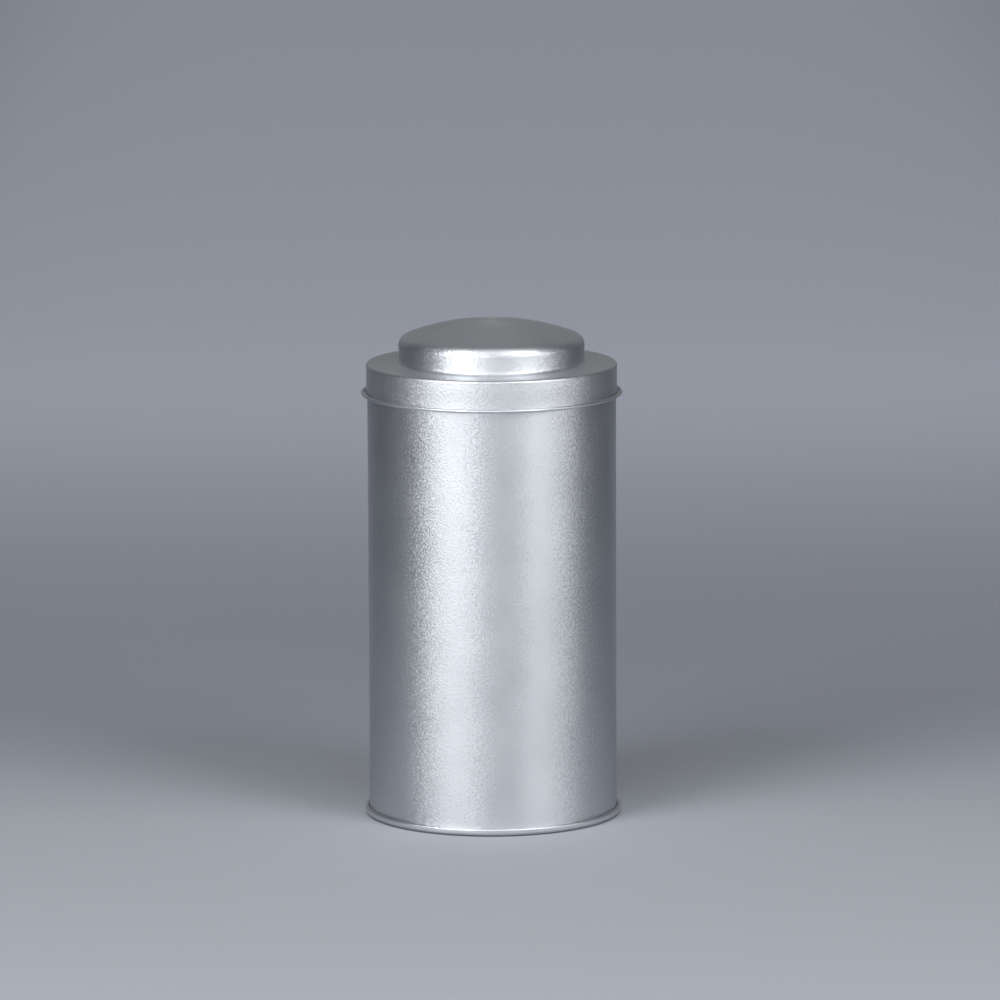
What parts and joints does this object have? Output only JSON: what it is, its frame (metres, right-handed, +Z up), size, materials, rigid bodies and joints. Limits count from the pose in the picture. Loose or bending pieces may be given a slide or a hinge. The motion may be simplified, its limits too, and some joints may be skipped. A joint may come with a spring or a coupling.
{
  "type": "candle tin",
  "caption": "Tall round slip-lid tin of satin metal with a stepped, domed lid, for poured candles or dry goods.",
  "frame": {"origin": "on the axis, at the plane that the foot of the base seam rests on", "axes": "+Z up along the tin's axis, the way the lid lifts; -Y is the front, and the wall's lock seam is at +Y"},
  "size_m": [0.0796, 0.0796, 0.1528],
  "materials": {
    "tinplate": "satin, finely grained",
    "sealing_compound": "matt"
  },
  "bodies": {
    "tin_body": {"body_wall": "tinplate", "base": "tinplate", "seam_compound": "sealing_compound"},
    "lid_body": {"lid": "tinplate"}
  },
  "joints": [
    {"name": "lid_lift", "type": "slide", "parent": "tin_body", "child": "lid_body", "axis": [0, 0, 1], "range_m": [0, 0.08]}
  ]
}
